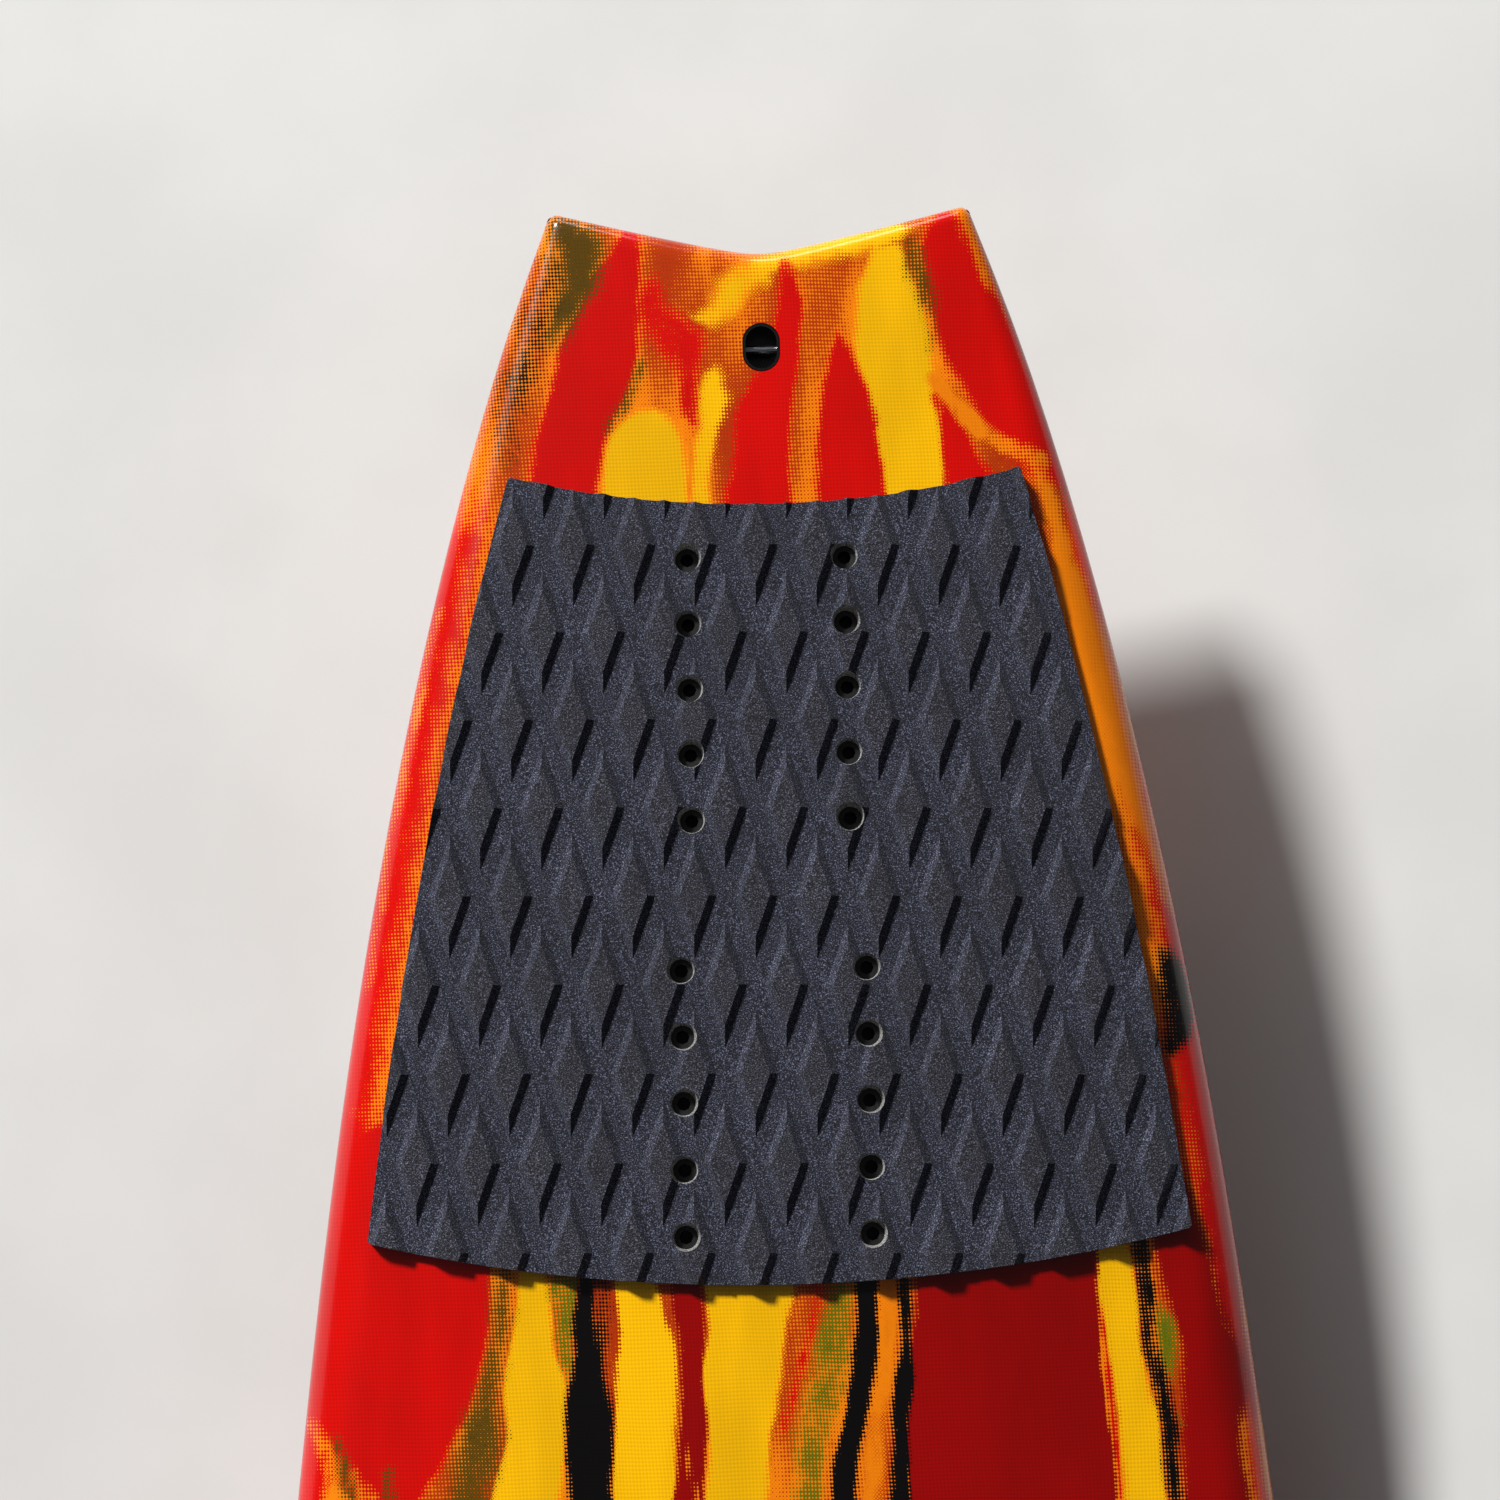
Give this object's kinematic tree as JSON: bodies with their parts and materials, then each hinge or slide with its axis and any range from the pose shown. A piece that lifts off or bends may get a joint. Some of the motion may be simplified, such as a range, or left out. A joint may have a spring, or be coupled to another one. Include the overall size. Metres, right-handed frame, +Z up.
{
  "type": "kiteboard",
  "caption": "Directional kite surfboard with a swallow tail, tinted resin laminate, grooved traction pads with strap holes, a leash plug and removable fins.",
  "frame": {"origin": "on the floor, under the middle of the box round the whole board as it stands on its two side fins and its belly", "axes": "+Y towards the tail, -Y towards the nose, +Z up out of the deck, +X to the right of someone at the nose who looks at the tail"},
  "size_m": [0.4188, 1.6816, 0.176],
  "materials": {
    "bottom_laminate": "tinted resin over glass cloth, gloss",
    "deck_laminate": "tinted resin over glass cloth, gloss",
    "fin_box_centre": "moulded nylon",
    "fin_box_left": "moulded nylon",
    "fin_box_right": "moulded nylon",
    "fin_centre": "glass and resin, polished",
    "fin_left": "glass and resin, polished",
    "fin_right": "glass and resin, polished",
    "fin_screw_centre_back": "stainless",
    "fin_screw_centre_front": "stainless",
    "fin_screw_left_back": "stainless",
    "fin_screw_left_front": "stainless",
    "fin_screw_right_back": "stainless",
    "fin_screw_right_front": "stainless",
    "foam_core_left": "expanded foam",
    "foam_core_right": "expanded foam",
    "front_pad_left": "closed-cell foam, grooved",
    "front_pad_right": "closed-cell foam, grooved",
    "insert_block_front_left": "dense foam",
    "insert_block_front_right": "dense foam",
    "insert_block_rear_left": "dense foam",
    "insert_block_rear_right": "dense foam",
    "leash_cup": "moulded",
    "leash_pin": "stainless",
    "rear_pad": "closed-cell foam, grooved",
    "strap_insert_front_aft_left": "moulded nylon",
    "strap_insert_front_aft_right": "moulded nylon",
    "strap_insert_front_fore_left": "moulded nylon",
    "strap_insert_front_fore_right": "moulded nylon",
    "strap_insert_rear_aft_left": "moulded nylon",
    "strap_insert_rear_aft_right": "moulded nylon",
    "strap_insert_rear_fore_left": "moulded nylon",
    "strap_insert_rear_fore_right": "moulded nylon",
    "stringer": "raw plywood",
    "vent_housing": "moulded",
    "vent_screw": "stainless",
    "vent_seal": "black"
  },
  "bodies": {
    "board": {"bottom_laminate": "bottom_laminate", "deck_laminate": "deck_laminate", "fin_box_centre": "fin_box_centre", "fin_box_left": "fin_box_left", "fin_box_right": "fin_box_right", "foam_core_left": "foam_core_left", "foam_core_right": "foam_core_right", "front_pad_left": "front_pad_left", "front_pad_right": "front_pad_right", "insert_block_front_left": "insert_block_front_left", "insert_block_front_right": "insert_block_front_right", "insert_block_rear_left": "insert_block_rear_left", "insert_block_rear_right": "insert_block_rear_right", "leash_cup": "leash_cup", "leash_pin": "leash_pin", "rear_pad": "rear_pad", "strap_insert_front_aft_left": "strap_insert_front_aft_left", "strap_insert_front_aft_right": "strap_insert_front_aft_right", "strap_insert_front_fore_left": "strap_insert_front_fore_left", "strap_insert_front_fore_right": "strap_insert_front_fore_right", "strap_insert_rear_aft_left": "strap_insert_rear_aft_left", "strap_insert_rear_aft_right": "strap_insert_rear_aft_right", "strap_insert_rear_fore_left": "strap_insert_rear_fore_left", "strap_insert_rear_fore_right": "strap_insert_rear_fore_right", "stringer": "stringer", "vent_housing": "vent_housing", "vent_seal": "vent_seal"},
    "fin_centre": {"fin_centre": "fin_centre"},
    "fin_left": {"fin_left": "fin_left"},
    "fin_right": {"fin_right": "fin_right"},
    "fin_screw_centre_back": {"fin_screw_centre_back": "fin_screw_centre_back"},
    "fin_screw_centre_front": {"fin_screw_centre_front": "fin_screw_centre_front"},
    "fin_screw_left_back": {"fin_screw_left_back": "fin_screw_left_back"},
    "fin_screw_left_front": {"fin_screw_left_front": "fin_screw_left_front"},
    "fin_screw_right_back": {"fin_screw_right_back": "fin_screw_right_back"},
    "fin_screw_right_front": {"fin_screw_right_front": "fin_screw_right_front"},
    "vent_screw": {"vent_screw": "vent_screw"}
  },
  "joints": [
    {"name": "fin_centre_slide", "type": "slide", "parent": "board", "child": "fin_centre", "axis": [0, 0.1949, -0.9808], "range_m": [0, 0.03]},
    {"name": "fin_left_slide", "type": "slide", "parent": "board", "child": "fin_left", "axis": [0.0302, 0.1717, -0.9847], "range_m": [0, 0.03]},
    {"name": "fin_right_slide", "type": "slide", "parent": "board", "child": "fin_right", "axis": [-0.0302, 0.1717, -0.9847], "range_m": [0, 0.03]},
    {"name": "fin_screw_centre_back_turn", "type": "hinge", "parent": "board", "child": "fin_screw_centre_back", "pos_m": [0.0075, 0.73158, 0.14364], "axis": [0.5, 0.1688, -0.8494], "range_deg": [0, 720]},
    {"name": "fin_screw_centre_front_turn", "type": "hinge", "parent": "board", "child": "fin_screw_centre_front", "pos_m": [0.0075, 0.67665, 0.13272], "axis": [0.5, 0.1688, -0.8494], "range_deg": [0, 720]},
    {"name": "fin_screw_left_back_turn", "type": "hinge", "parent": "board", "child": "fin_screw_left_back", "pos_m": [-0.11869, 0.54426, 0.10613], "axis": [0.5253, 0.1213, -0.8423], "range_deg": [0, 720]},
    {"name": "fin_screw_left_front_turn", "type": "hinge", "parent": "board", "child": "fin_screw_left_front", "pos_m": [-0.12152, 0.48918, 0.09644], "axis": [0.5253, 0.1213, -0.8423], "range_deg": [0, 720]},
    {"name": "fin_screw_right_back_turn", "type": "hinge", "parent": "board", "child": "fin_screw_right_back", "pos_m": [0.11869, 0.54426, 0.10613], "axis": [-0.5253, 0.1213, -0.8423], "range_deg": [0, 720]},
    {"name": "fin_screw_right_front_turn", "type": "hinge", "parent": "board", "child": "fin_screw_right_front", "pos_m": [0.12152, 0.48918, 0.09644], "axis": [-0.5253, 0.1213, -0.8423], "range_deg": [0, 720]},
    {"name": "vent_screw_turn", "type": "hinge", "parent": "board", "child": "vent_screw", "pos_m": [0.017, -0.38209, 0.04432], "axis": [0.0076, -0.0451, 0.999], "range_deg": [0, 1170]}
  ]
}
